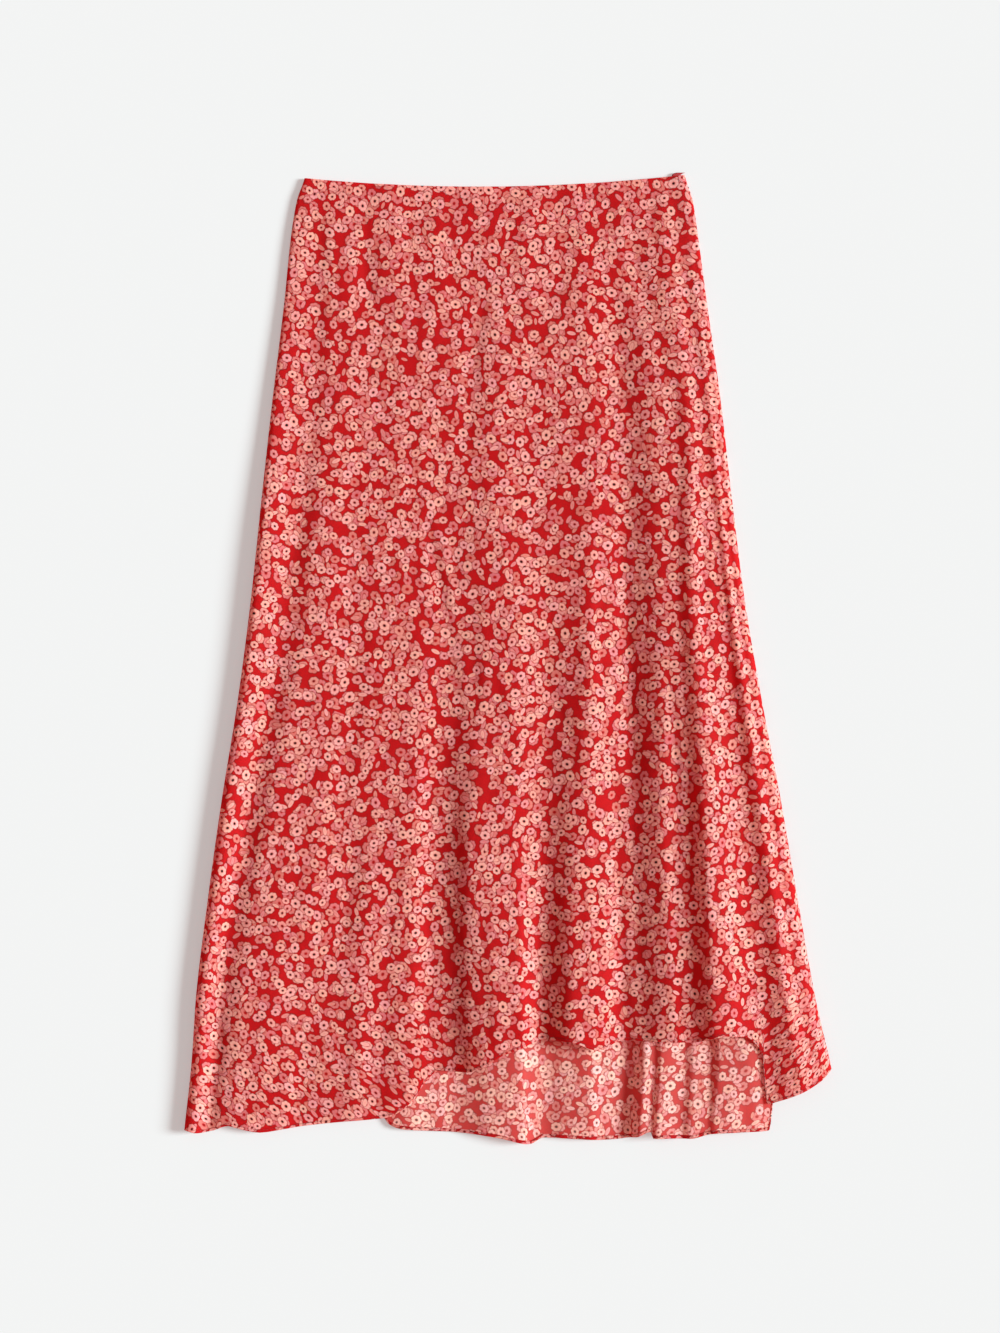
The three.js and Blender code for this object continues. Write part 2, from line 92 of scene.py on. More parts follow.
backFolds = [
    ("left seam", 4, [0, 0, 0, 0, 0, 0], [2, 3.4, 4.4, 5, 5.4, 5.4]),
    ("left foot", 2, [0.01, 0.013, 0.016, 0.017, 0.016, 0.015], [0, 0, 0, 0, 0, 0]),
    ("left half", 2, [0.17, 0.17, 0.17, 0.17, 0.17, 0.17], [0, 0, 0, 0, 0, 0]),
    ("start of show", 2, [0.29, 0.29, 0.29, 0.29, 0.29, 0.29], [0, 0, 0, 0, 0.4, 0.4]),
    ("soft crest", 2, [0.345, 0.345, 0.345, 0.345, 0.343, 0.34], [0, 0, 0, 0, 3.4, 4.2]),
    ("soft valley", 3, [0.41, 0.41, 0.41, 0.41, 0.408, 0.396], [0, 0, 0, 0, 0.6, 0.9]),
    ("bulge", 3, [0.505, 0.505, 0.505, 0.505, 0.508, 0.5], [0, 0, 0, 1, 7.6, 9.6]),
    ("bulge foot", 2, [0.562, 0.562, 0.562, 0.562, 0.56, 0.544], [0, 0, 0, 0, 2, 2.4]),
    ("low crest", 3, [0.627, 0.627, 0.627, 0.627, 0.625, 0.605], [0, 0, 0, 0.8, 5.4, 7]),
    ("deep valley", 3, [0.7, 0.7, 0.7, 0.7, 0.697, 0.671], [0, 0, 0, 0, 0.3, 0.4]),
    ("pleat edge", 2, [0.722, 0.722, 0.722, 0.722, 0.72, 0.691], [0, 0, 0, 0.4, 8.4, 10.6]),
    ("pleat notch", 1, [0.733, 0.733, 0.733, 0.733, 0.733, 0.704], [0, 0, 0, 0.4, 7, 9]),
    ("hem step", 1, [0.7375, 0.7375, 0.7375, 0.7375, 0.7375, 0.7088], [0, 0, 0, 0.4, 7.2, 9.2]),
    ("second edge", 3, [0.7445, 0.7445, 0.7445, 0.7445, 0.7445, 0.7155], [0, 0, 0, 0.6, 9.6, 11.8]),
    ("second valley", 2, [0.782, 0.782, 0.782, 0.782, 0.782, 0.752], [0, 0, 0, 0.4, 7, 8.4]),
    ("third edge", 2, [0.799, 0.799, 0.799, 0.799, 0.797, 0.767], [0, 0, 0, 0.6, 9.2, 11]),
    ("third valley", 2, [0.825, 0.825, 0.825, 0.825, 0.825, 0.791], [0, 0, 0, 0.5, 8.4, 9.6]),
    ("last edge", 3, [0.838, 0.838, 0.838, 0.838, 0.838, 0.804], [0, 0, 0, 0.6, 13.8, 11.6]),
    ("last foot", 1, [0.904, 0.904, 0.904, 0.904, 0.904, 0.873], [0, 0, 0, 0.4, 13.2, 7.7]),
    ("end of show", 1, [0.911, 0.911, 0.911, 0.911, 0.911, 0.8835], [0, 0, 0, 0.4, 12.9, 7.2]),
    ("right half", 2, [0.918, 0.918, 0.918, 0.918, 0.918, 0.891], [0, 0, 0, 0.3, 12.1, 6.3]),
    ("right foot", 4, [0.99, 0.987, 0.984, 0.982, 0.973, 0.97], [0, 0, 0, 0, 0, 0]),
    ("right seam", 0, [1, 1, 1, 1, 1, 1], [2, 3.4, 4.4, 5, 5.6, 5.4]),
]

frontHem = [  # x, down
    (-291.6, 859.5), (-279.5, 862.2), (-266.9, 860.4), (-252.5, 855.9), (-241.7, 858.6), (-223.7, 861.8),
    (-201.2, 858.6), (-184.1, 855.9), (-151.7, 852.3), (-109.4, 848.3), (-86, 833.4), (-75.2, 817.2),
    (-61.7, 806.4), (-37.4, 807.3), (-21.2, 801.9), (-7.7, 792.9), (10.4, 785.7), (32.9, 777.6),
    (55.4, 779.4), (82, 787), (102.2, 778.5), (163.4, 779.4), (195.8, 773.1), (212, 774.5),
    (227.6, 789.3), (232.6, 835.6), (244.4, 832.5), (262.4, 825.8), (280.4, 815.4), (291.6, 803.7),
]
backHem = [
    (-291.6, 859.5), (-264.2, 854.1), (-187.7, 848.7), (-117.5, 843.3), (-106.7, 855.5), (-95.9, 859.1),
    (-43.7, 862.2), (-7.7, 866.7), (19.4, 872.1), (32, 866.7), (89.6, 868.5), (114.8, 865.8),
    (127.8, 860.9), (130.5, 866.7), (163.4, 866.7), (185, 862.2), (228.2, 860.4), (234.9, 859.5),
    (238.1, 830.7), (262.4, 820.8), (280.4, 810.9), (291.6, 803.7),
]

# creases, listed one by one: share across at the start and end, down at the start and end,
# height in mm (a trough is below zero), half width in mm, and lean (-1 steep on the left, 1 on the right)
frontCreases = [
    (0.30, 0.34, 120, 420, -0.7, 13, 0.2), (0.155, 0.165, 150, 520, 0.6, 16, -0.2),
    (0.475, 0.43, 80, 260, -0.8, 12, 0.3), (0.50, 0.535, 230, 500, 0.7, 18, 0.1),
    (0.345, 0.40, 290, 400, -1.1, 7, 0.4), (0.375, 0.42, 300, 420, 0.8, 8, -0.2),
    (0.455, 0.45, 360, 520, -0.9, 10, 0.0), (0.49, 0.55, 430, 540, 0.9, 7, -0.3),
    (0.70, 0.655, 260, 620, 1.6, 15, 0.2), (0.585, 0.64, 440, 520, -0.8, 9, 0.3),
    (0.228, 0.212, 400, 640, -0.9, 14, 0.2), (0.185, 0.16, 520, 760, 0.7, 13, 0.0),
    (0.275, 0.262, 560, 740, 0.8, 15, 0.3), (0.245, 0.225, 590, 700, -1.0, 10, -0.2),
    (0.315, 0.30, 600, 800, -1.1, 13, 0.2), (0.155, 0.175, 680, 850, -0.9, 11, 0.3),
    (0.265, 0.26, 740, 855, 0.9, 12, 0.1), (0.125, 0.115, 560, 800, 0.5, 9, -0.3),
    (0.44, 0.438, 560, 770, 1.1, 9, 0.2), (0.462, 0.468, 600, 805, -1.0, 7, -0.2),
    (0.53, 0.523, 620, 790, 0.8, 8, 0.2), (0.655, 0.637, 560, 780, 0.8, 9, 0.1),
    (0.72, 0.70, 480, 775, 1.0, 8, -0.2), (0.765, 0.745, 300, 560, -1.0, 9, 0.2),
    (0.79, 0.765, 520, 775, 0.9, 9, 0.2), (0.835, 0.80, 420, 640, -1.2, 8, 0.0),
    (0.90, 0.885, 300, 560, 0.7, 9, 0.2), (0.94, 0.90, 260, 480, -1.1, 8, 0.1),
    (0.878, 0.86, 620, 780, 0.9, 9, 0.2), (0.95, 0.935, 600, 830, -0.8, 8, 0.2),
    (0.25, 0.27, 10, 150, 0.5, 14, 0.0), (0.39, 0.40, 6, 120, -0.5, 11, 0.2),
    (0.58, 0.57, 8, 170, 0.5, 15, 0.0), (0.66, 0.67, 5, 90, -0.5, 10, 0.0),
    (0.09, 0.12, 10, 210, 0.5, 11, 0.0), (0.91, 0.90, 12, 190, 0.6, 9, 0.0),
    (0.055, 0.05, 740, 862, 0.9, 7, 0.0), (0.095, 0.085, 790, 862, -1.2, 7, 0.2),
]
backCreases = [
    (0.31, 0.30, 760, 864, 0.7, 7, 0.2), (0.36, 0.365, 770, 866, -0.6, 8, 0.0),
    (0.395, 0.39, 740, 866, 0.8, 9, 0.2), (0.46, 0.455, 770, 868, 0.7, 7, -0.2),
    (0.52, 0.515, 750, 872, 0.9, 6, 0.3), (0.585, 0.57, 740, 868, 0.7, 7, 0.0),
    (0.65, 0.63, 760, 868, -0.8, 7, 0.2), (0.86, 0.83, 770, 864, 0.6, 8, 0.2),
    (0.12, 0.10, 60, 420, 0.9, 12, 0.0), (0.24, 0.28, 180, 640, 1.0, 11, 0.2),
    (0.42, 0.38, 320, 720, 0.9, 13, -0.2), (0.55, 0.57, 100, 460, 0.8, 12, 0.1),
    (0.66, 0.63, 380, 760, 1.1, 11, 0.2), (0.78, 0.76, 150, 560, 0.9, 12, -0.2),
    (0.88, 0.87, 420, 800, 1.0, 10, 0.0), (0.07, 0.08, 520, 840, 0.9, 9, 0.2),
    (0.18, 0.20, 600, 850, 0.8, 10, 0.0),
]

darts = {"lines": ["left dart", "right dart"], "from": 8, "tip": 96, "end": 150, "depth": 1.5,
         "halfWidth": 16, "seamDepth": 0.35, "seamHalfWidth": 1.6, "sewnPast": 6, "sewnFade": 14}
# long low waves that keep the cloth from lying dead flat: wavelength, drift, phase, height in mm
waves = [(71, 0.11, 0.4, 0.22), (43, -0.17, 2.1, 0.16), (29, 0.24, 4.0, 0.10), (19, -0.31, 1.2, 0.06)]
waveDrift = {"swing": 0.9, "down": 130, "onBack": 0.5}  # how they wander, and how strong the back's are


def curveThrough(xs, ys):  # smooth, and never swings past its points
    xs, ys = np.array(xs, float), np.array(ys, float)
    slopes = np.diff(ys) / np.diff(xs)
    before, after = slopes[:-1], slopes[1:]
    rising = before * after > 0
    middle = np.where(rising, 2 * before * after / np.where(rising, before + after, 1), 0)
    tangents = np.concatenate([slopes[:1], middle, slopes[-1:]])

    def at(x):
        i = np.clip(np.searchsorted(xs, x, side="right") - 1, 0, len(xs) - 2)
        step = xs[i + 1] - xs[i]
        t = np.clip((x - xs[i]) / step, 0, 1)
        value = hermite(t, ys[i], ys[i + 1], tangents[i] * step, tangents[i + 1] * step)
        return value + tangents[0] * np.minimum(x - xs[0], 0) + tangents[-1] * np.maximum(x - xs[-1], 0)
    return at


def hermite(t, y0, y1, m0, m1):
    r = 1 - t
    return (1 + 2 * t) * r * r * y0 + t * r * r * m0 + t * t * (3 - 2 * t) * y1 - t * t * r * m1


def ease(t):
    t = np.clip(t, 0, 1)
    return t * t * (3 - 2 * t)


leftSeamX = curveThrough([row[0] for row in sideSeams], [row[1] for row in sideSeams])
rightSeamX = curveThrough([row[0] for row in sideSeams], [row[2] for row in sideSeams])


def waistDown(x):
    return skirt["waistLowestDown"] - skirt["waistBend"] * (x - skirt["waistLowestX"]) ** 2


def creaseRelief(creases, share, down, width):
    relief = np.zeros_like(share)
    for start, end, top, bottom, high, half, lean in creases:
        t = (down - top) / (bottom - top)
        off = (share - start - (end - start) * t) * width
        reach = half * np.where(off < 0, 1 + lean, 1 - lean)
        across = np.clip(1 - (off / reach) ** 2, 0, 1) ** 2
        along = np.clip(4 * t * (1 - t), 0, 1) * ((t > 0) & (t < 1))
        atHem = (bottom > skirt["levelEnd"]) & (t > 0.5)  # a crease that reaches the hem runs out over it
        relief += high * across * np.where(atHem, 1, along)
    return relief


def longWaves(share, down, width):
    across = share * width
    relief = np.zeros_like(share)
    for length, drift, phase, high in waves:
        wander = waveDrift["swing"] * np.sin(down / waveDrift["down"] + phase)
        relief += high * np.sin(2 * math.pi * (across + drift * down) / length + phase + wander)
    return relief


def dartRelief(share, down, width):
    relief = np.zeros_like(share)
    grow = ease((down - darts["from"]) / (darts["tip"] - darts["from"]))
    fade = 1 - ease((down - darts["tip"]) / (darts["end"] - darts["tip"]))
    sewnEnd = darts["tip"] + darts["sewnPast"]
    sewn = (down < sewnEnd) * ease((sewnEnd - down) / darts["sewnFade"])
    for fold in frontFolds:
        if fold[0] in darts["lines"]:
            off = np.abs(share - curveThrough(skirt["levels"], fold[2])(down)) * width
            relief -= darts["depth"] * grow * fade * ease(1 - off / darts["halfWidth"])
            relief -= darts["seamDepth"] * sewn * ease(1 - off / darts["seamHalfWidth"])
    return relief


# a panel: its fold lines as curves down the skirt, its hem, and the relief on its folds
def makeShape(folds, hem, isFront):
    return {
        "folds": folds, "isFront": isFront,
        "shares": [curveThrough(skirt["levels"], fold[2]) for fold in folds],
        "heights": [curveThrough(skirt["levels"], fold[3]) for fold in folds],
        "hem": curveThrough([row[0] for row in hem], [row[1] for row in hem]),
        "last": len(folds) - 1,
    }


def faceAt(shape, along, down):  # x and z of the outer face, at a place along the fold lines
    last = shape["last"]
    k = np.clip(along.astype(int), 0, last - 1)
    t = along - k
    shares = np.array([line(down) for line in shape["shares"]])
    heights = np.array([line(down) for line in shape["heights"]])

    def pick(table, i):
        return np.take_along_axis(table, np.clip(i, 0, last)[None], 0)[0]
    s0, s1, s2, s3 = (pick(shares, k + d) for d in (-1, 0, 1, 2))
    h0, h1, h2, h3 = (pick(heights, k + d) for d in (-1, 0, 1, 2))
    turn = t * math.pi / 2
    first, final = k == 0, k == last - 1
    across = np.where(first, 1 - np.cos(turn), np.where(final, np.sin(turn), t))
    share = s1 + (s2 - s1) * across

    def tangent(sa, sb, sc, ha, hb, hc):
        left = (hb - ha) / np.maximum(sb - sa, 1e-6)
        right = (hc - hb) / np.maximum(sc - sb, 1e-6)
        rising = left * right > 0
        return np.where(rising, 2 * left * right / np.where(rising, left + right, 1), 0)
    m1 = np.where(k <= 1, 0, tangent(s0, s1, s2, h0, h1, h2)) * (s2 - s1)
    m2 = np.where(k >= last - 2, 0, tangent(s1, s2, s3, h1, h2, h3)) * (s2 - s1)
    z = hermite(t, h1, h2, m1, m2)
    z = np.where(first, h1 + (h2 - h1) * np.sin(turn), z)
    z = np.where(final, h1 + (h2 - h1) * (1 - np.cos(turn)), z)
    width = rightSeamX(down) - leftSeamX(down)
    x = leftSeamX(down) + share * width
    edge = np.minimum(share, 1 - share) * width
    calm = ease((edge - skirt["rollWidth"]) / skirt["rollFade"])
    if shape["isFront"]:
        relief = creaseRelief(frontCreases, share, down, width) + dartRelief(share, down, width)
        z = z + skirt["seamGap"] / 2 + calm * (relief + longWaves(share, down, width))
    else:
        leaving = np.maximum(0, np.maximum(1 - along, along - (last - 1)))
        swell = waveDrift["onBack"] * longWaves(share, down, width)
        lift = creaseRelief(backCreases, share, down, width) + swell
        z = np.maximum(z - skirt["seamGap"] / 2 * leaving + calm * lift, 0)
    return x, z


def crossing(shape, along, edgeDown, low, high):  # how far down each column meets an edge
    low, high = np.full_like(along, low), np.full_like(along, high)
    for halving in range(skirt["halvings"]):
        middle = (low + high) / 2
        x, z = faceAt(shape, along, middle)
        above = middle < edgeDown(x)
        low, high = np.where(above, middle, low), np.where(above, high, middle)
    return low


def panelColumns(shape):
    steps = [k + i / (fold[1] * skirt["finer"])
             for k, fold in enumerate(shape["folds"]) for i in range(fold[1] * skirt["finer"])]
    return np.array(steps + [shape["last"]], float)


def panelGrid(shape):  # rows of points from the hem to the waist, each from the left seam to the right
    along = panelColumns(shape)
    top = crossing(shape, along, waistDown, *skirt["waistBetween"])
    bottom = crossing(shape, along, shape["hem"], skirt["levelEnd"], skirt["hemBefore"])
    waist, hem = skirt["waistRows"], skirt["hemRows"]
    level = np.linspace(0, 1, skirt["levelRows"] + 1)[1:]
    spread = np.linspace(0, 1, skirt["spreadRows"] + 1)[1:-1]
    rows = [top + gap for gap in waist]
    rows += [top + waist[-1] + (skirt["levelEnd"] - top - waist[-1]) * t for t in level]
    rows += [skirt["levelEnd"] + (bottom - hem[0] - skirt["levelEnd"]) * t for t in spread]
    rows += [bottom - gap for gap in hem]
    down = np.array(rows[::-1])
    x, z = faceAt(shape, np.tile(along, len(rows)), down.ravel())
    x, z = x.reshape(down.shape), z.reshape(down.shape)
    inward = -1 if shape["isFront"] else 1
    turnIn, pull = inward * skirt["turnIn"], inward * skirt["stitchPull"]
    z += turnIn * (1 - np.clip((bottom - down) / skirt["hemTurn"], 0, 1)) ** 2
    z += turnIn * (1 - np.clip((down - top) / skirt["waistTurn"], 0, 1)) ** 2
    z += pull * np.exp(-((bottom - down - skirt["stitchRow"]) / skirt["stitchReach"]) ** 2)
    return np.stack([x, skirt["waistY"] - down, z], 2) * mm


def clothLengths(points):  # widths along the cloth itself, so that the print bends with the folds
    step = np.linalg.norm(np.diff(points, axis=1), axis=2)
    across = np.concatenate([np.zeros((len(points), 1)), np.cumsum(step, 1)], 1)
    middle = points.shape[1] // 2
    return np.stack([across - across[:, middle:middle + 1], points[:, :, 1]], 2)


def deselectAll():
    bpy.ops.object.select_all(action="DESELECT")


def gridPiece(name, points, lengths, materials):  # a grid of cloth, laid on its points
    rows, columns = points.shape[:2]
    deselectAll()
    bpy.ops.mesh.primitive_grid_add(x_subdivisions=columns - 1, y_subdivisions=rows - 1, size=1)
    piece = bpy.context.object
    piece.name = piece.data.name = name
    piece.data.vertices.foreach_set("co", points.reshape(-1))
    corners = np.empty(len(piece.data.loops), int)
    piece.data.loops.foreach_get("vertex_index", corners)
    while piece.data.uv_layers:
        piece.data.uv_layers.remove(piece.data.uv_layers[0])
    layer = piece.data.uv_layers.new(name="clothLengths")
    layer.data.foreach_set("uv", lengths.reshape(-1, 2)[corners].reshape(-1))
    for material in materials:
        piece.data.materials.append(material)
    bpy.ops.object.shade_smooth()
    return piece


def thicken(piece, thickness, flip=False):
    bpy.context.view_layer.objects.active = piece
    if flip:
        bpy.ops.object.mode_set(mode="EDIT")
        bpy.ops.mesh.select_all(action="SELECT")
        bpy.ops.mesh.flip_normals()
        bpy.ops.object.mode_set(mode="OBJECT")
    wall = piece.modifiers.new("cloth", "SOLIDIFY")
    wall.thickness = thickness * mm
    wall.offset = -1
    wall.material_offset = 1 if len(piece.data.materials) > 1 else 0
    bpy.ops.object.modifier_apply(modifier=wall.name)


# materials: their colours are sRGB hex values, turned here into the linear ones that nodes take
def linear(hexCode):
    channels = [int(hexCode[i:i + 2], 16) / 255 for i in (0, 2, 4)]
    return [c / 12.92 if c <= 0.04045 else ((c + 0.055) / 1.055) ** 2.4 for c in channels] + [1]


def faded(hexCode, share):  # a colour of the print, with some of the ground showing through it
    return [c + (g - c) * share for c, g in zip(linear(hexCode), linear(daisyPrint["ground"]))]


def addNode(tree, kind, values=(), **settings):
    made = tree.nodes.new(kind)
    for name, value in settings.items():
        setattr(made, name, value)
    for socket, value in dict(values).items():
        if isinstance(value, bpy.types.NodeSocket):
            tree.links.new(value, made.inputs[socket])
        else:
            made.inputs[socket].default_value = value
    return made


# the print: daisies in overlapping layers, the first ones faded, with buds between them.
# Sizes are in millimetres, and rings are shares of a flower's size, from the outer one inwards.
daisyPrint = {
    "ground": "c01b21", "groundDeep": "ae151b", "outline": "5c140f",
    "pink": "ffe4ee", "cream": "fff0d8", "split": "e6948a", "ring": "d88c80", "dot": "180808",
    "layers": [  # kind, cell, radius, turn, shift, share kept, how faded
        ("daisy", 11.6, 4.9, 0.3, (3.1, 7.7), 0.84, 0.58),
        ("bud", 10.4, 3.8, 0.9, (23.7, 88.1), 0.66, 0.46),
        ("daisy", 12.2, 4.3, 1.3, (41.3, 19.4), 0.68, 0.34),
        ("daisy", 13.1, 4.3, 2.1, (77.9, 53.2), 0.62, 0.18),
        ("bud", 12.8, 3.8, 2.6, (61.2, 12.9), 0.40, 0.14),
        ("daisy", 12.4, 4.4, 2.8, (11.6, 33.8), 0.50, 0.05),
    ],
    "random": 0.55,  # more than this and neighbours cut into each other
    "patch": 24, "patchiness": 0.7,  # how far apart the bare patches lie, and how bare they are
    "smallest": 0.8, "largest": 1.16,  # times the layer's radius
    "oval": 1.22, "budOval": 2.3,
    "petals": 7, "petalGap": 0.93, "petalTip": 1.05,  # reach between petals and at their tips
    "splitWidth": 0.5, "splitShare": 0.3,  # the darker line between two petals
    "daisyRings": [  # full inside, gone outside, strength, ink
        (1.0, 1.28, 0.62, "outline"), (0.84, 1.08, 1.0, "petal"),
        (0.3, 0.55, 0.5, "ring"), (0.18, 0.38, 1.0, "dot"),
    ],
    "budRings": [(1.04, 1.35, 0.5, "outline"), (0.8, 1.08, 1.0, "petal"), (0.1, 0.5, 0.3, "split")],
}


def paintRings(tree, below, ratio, kept, rings, inks):
    for full, none, share, ink in rings:
        edge = addNode(tree, "ShaderNodeMapRange", {0: ratio, 1: full, 2: none, 3: share, 4: 0.0},
                       interpolation_type="SMOOTHSTEP")
        mask = addNode(tree, "ShaderNodeMath", {0: edge.outputs[0], 1: kept}, operation="MULTIPLY")
        below = addNode(tree, "ShaderNodeMix", {0: mask.outputs[0], 6: below, 7: inks[ink]},
                        data_type="RGBA").outputs[2]
    return below


def motifs(tree, lengths, below, layer):  # one layer of daisies or buds, one to a cell where it is kept
    kind, cell, radius, slant, shift, share, fade = layer
    inks = {name: faded(daisyPrint[name], fade) for name in ("pink", "cream", "split", "ring", "dot")}
    inks["outline"] = linear(daisyPrint["outline"])
    turned = addNode(tree, "ShaderNodeVectorRotate", {"Vector": lengths, "Angle": slant},
                     rotation_type="Z_AXIS")
    moved = addNode(tree, "ShaderNodeVectorMath",
                    {0: turned.outputs[0], 1: [shift[0] * mm, shift[1] * mm, 0]}).outputs[0]
    cells = addNode(tree, "ShaderNodeTexVoronoi", {"Vector": moved, "Scale": 1 / (cell * mm),
                                                  "Randomness": daisyPrint["random"]},
                    voronoi_dimensions="2D")
    dice = addNode(tree, "ShaderNodeSeparateColor", {0: cells.outputs["Color"]})
    patches = addNode(tree, "ShaderNodeTexNoise", {"Vector": cells.outputs["Position"], "Detail": 1.0,
                                                   "Scale": 1 / (daisyPrint["patch"] * mm)},
                      noise_dimensions="2D")
    chance = addNode(tree, "ShaderNodeMath", {0: patches.outputs["Fac"], 1: daisyPrint["patchiness"],
                                              2: dice.outputs[2]}, operation="MULTIPLY_ADD")
    kept = addNode(tree, "ShaderNodeMath", {0: chance.outputs[0],
                                            1: 1 - share + daisyPrint["patchiness"] / 2},
                   operation="GREATER_THAN").outputs[0]
    offset = addNode(tree, "ShaderNodeVectorMath", {0: moved, 1: cells.outputs["Position"]},
                     operation="SUBTRACT")
    angle = addNode(tree, "ShaderNodeMath", {0: dice.outputs[0], 1: 2 * math.pi}, operation="MULTIPLY")
    spun = addNode(tree, "ShaderNodeVectorRotate", {"Vector": offset.outputs[0], "Angle": angle.outputs[0]},
                   rotation_type="Z_AXIS")
    narrow = daisyPrint["budOval" if kind == "bud" else "oval"]
    oval = addNode(tree, "ShaderNodeVectorMath", {0: spun.outputs[0], 1: [1, narrow, 0]},
                   operation="MULTIPLY").outputs[0]
    away = addNode(tree, "ShaderNodeVectorMath", {0: oval}, operation="LENGTH").outputs["Value"]
    size = addNode(tree, "ShaderNodeMapRange", {0: dice.outputs[1], 3: radius * mm * daisyPrint["smallest"],
                                                4: radius * mm * daisyPrint["largest"]}).outputs[0]
    inks["petal"] = addNode(tree, "ShaderNodeMix", {0: dice.outputs[2], 6: inks["pink"], 7: inks["cream"]},
                            data_type="RGBA").outputs[2]
    if kind == "bud":
        ratio = addNode(tree, "ShaderNodeMath", {0: away, 1: size}, operation="DIVIDE").outputs[0]
        return paintRings(tree, below, ratio, kept, daisyPrint["budRings"], inks)
    place = addNode(tree, "ShaderNodeSeparateXYZ", {0: oval})
    turn = addNode(tree, "ShaderNodeMath", {0: place.outputs[1], 1: place.outputs[0]}, operation="ARCTAN2")
    wave = addNode(tree, "ShaderNodeMath", {0: turn.outputs[0], 1: daisyPrint["petals"] / 2},
                   operation="MULTIPLY")
    petalWave = addNode(tree, "ShaderNodeMath", {0: wave.outputs[0]}, operation="COSINE")
    lobes = addNode(tree, "ShaderNodeMath", {0: petalWave.outputs[0]}, operation="ABSOLUTE").outputs[0]
    bumps = addNode(tree, "ShaderNodeMapRange", {0: lobes, 3: daisyPrint["petalGap"],
                                                 4: daisyPrint["petalTip"]}).outputs[0]
    reach = addNode(tree, "ShaderNodeMath", {0: size, 1: bumps}, operation="MULTIPLY").outputs[0]
    ratio = addNode(tree, "ShaderNodeMath", {0: away, 1: reach}, operation="DIVIDE").outputs[0]
    split = addNode(tree, "ShaderNodeMapRange", {0: lobes, 1: 0.0, 2: daisyPrint["splitWidth"],
                                                 3: daisyPrint["splitShare"], 4: 0.0}).outputs[0]
    inks["petal"] = addNode(tree, "ShaderNodeMix", {0: split, 6: inks["petal"], 7: inks["split"]},
                            data_type="RGBA").outputs[2]
    return paintRings(tree, below, ratio, kept, daisyPrint["daisyRings"], inks)


crepe = {
    "grain": 1.1, "grainLift": 0.10, "grainBump": 0.6,
    "crinkle": 9, "crinkleLift": 0.35, "crinkleBump": 0.5,
    "dyeScale": 60.0,  # slightly deeper and lighter patches of dye, about 17 mm across
    "roughness": 0.8, "specular": 0.25, "sheen": 0.04, "sheenRoughness": 0.5, "sheenTint": "ffb9ae",
    "wrongHaze": "ffcdbe", "wrongShare": 0.12,  # the pale wrong side
    "letsThrough": 0.65, "wrongThrough": 0.5, "throughTint": "ff281e", "throughShare": 0.92,
    "inkBlocks": 0.36,  # ink with less red than this holds light back
}


# printed viscose crepe: matte, with a fine pebbly grain; the ink is on the right side,
# and the wrong side is paler
def printedCrepe(name, wrongSide=False):
    material = bpy.data.materials.new(name)
    material.use_nodes = True
    tree = material.node_tree
    shader = tree.nodes["Principled BSDF"]
    lengths = addNode(tree, "ShaderNodeUVMap", uv_map="clothLengths").outputs[0]
    dye = addNode(tree, "ShaderNodeTexNoise", {"Vector": lengths, "Scale": crepe["dyeScale"], "Detail": 2.0},
                  noise_dimensions="2D")
    colour = addNode(tree, "ShaderNodeMix", {0: dye.outputs["Fac"], 6: linear(daisyPrint["groundDeep"]),
                                             7: linear(daisyPrint["ground"])}, data_type="RGBA").outputs[2]
    for layer in daisyPrint["layers"]:
        colour = motifs(tree, lengths, colour, layer)
    if wrongSide:
        colour = addNode(tree, "ShaderNodeMix", {0: crepe["wrongShare"], 6: colour,
                                                 7: linear(crepe["wrongHaze"])}, data_type="RGBA").outputs[2]
    tree.links.new(colour, shader.inputs["Base Color"])
    shader.inputs["Roughness"].default_value = crepe["roughness"]
    shader.inputs["Sheen Weight"].default_value = crepe["sheen"]
    shader.inputs["Sheen Roughness"].default_value = crepe["sheenRoughness"]
    shader.inputs["Sheen Tint"].default_value = linear(crepe["sheenTint"])
    shader.inputs["Specular IOR Level"].default_value = crepe["specular"]
    grain = addNode(tree, "ShaderNodeTexNoise", {"Vector": lengths, "Scale": 1 / (crepe["grain"] * mm),
                                                 "Detail": 3.0}, noise_dimensions="2D")
    crinkle = addNode(tree, "ShaderNodeTexNoise", {"Vector": lengths, "Scale": 1 / (crepe["crinkle"] * mm),
                                                   "Detail": 2.0}, noise_dimensions="2D")
    coarse = addNode(tree, "ShaderNodeBump", {"Strength": crepe["crinkleBump"],
                                              "Distance": crepe["crinkleLift"] * mm,
                                              "Height": crinkle.outputs["Fac"]})
    fine = addNode(tree, "ShaderNodeBump", {"Strength": crepe["grainBump"],
                                            "Distance": crepe["grainLift"] * mm,
                                            "Height": grain.outputs["Fac"], "Normal": coarse.outputs[0]})
    tree.links.new(fine.outputs[0], shader.inputs["Normal"])
    dyed = addNode(tree, "ShaderNodeMix", {0: crepe["throughShare"], 6: colour,
                                           7: linear(crepe["throughTint"])}, data_type="RGBA")
    red = addNode(tree, "ShaderNodeSeparateColor", {0: colour}).outputs[0]
    clear = addNode(tree, "ShaderNodeMapRange", {0: red, 2: crepe["inkBlocks"]}).outputs[0]
    lit = addNode(tree, "ShaderNodeMix", {0: clear, 6: linear(daisyPrint["dot"]), 7: dyed.outputs[2]},
                  data_type="RGBA").outputs[2]  # the dark ink stops the light that the red lets through
    through = addNode(tree, "ShaderNodeBsdfTranslucent", {"Color": lit, "Normal": fine.outputs[0]})
    share = crepe["wrongThrough" if wrongSide else "letsThrough"]
    cloth = addNode(tree, "ShaderNodeMixShader", {0: share, 1: shader.outputs[0],
                                                  2: through.outputs[0]})
    tree.links.new(cloth.outputs[0], tree.nodes["Material Output"].inputs[0])
    return material


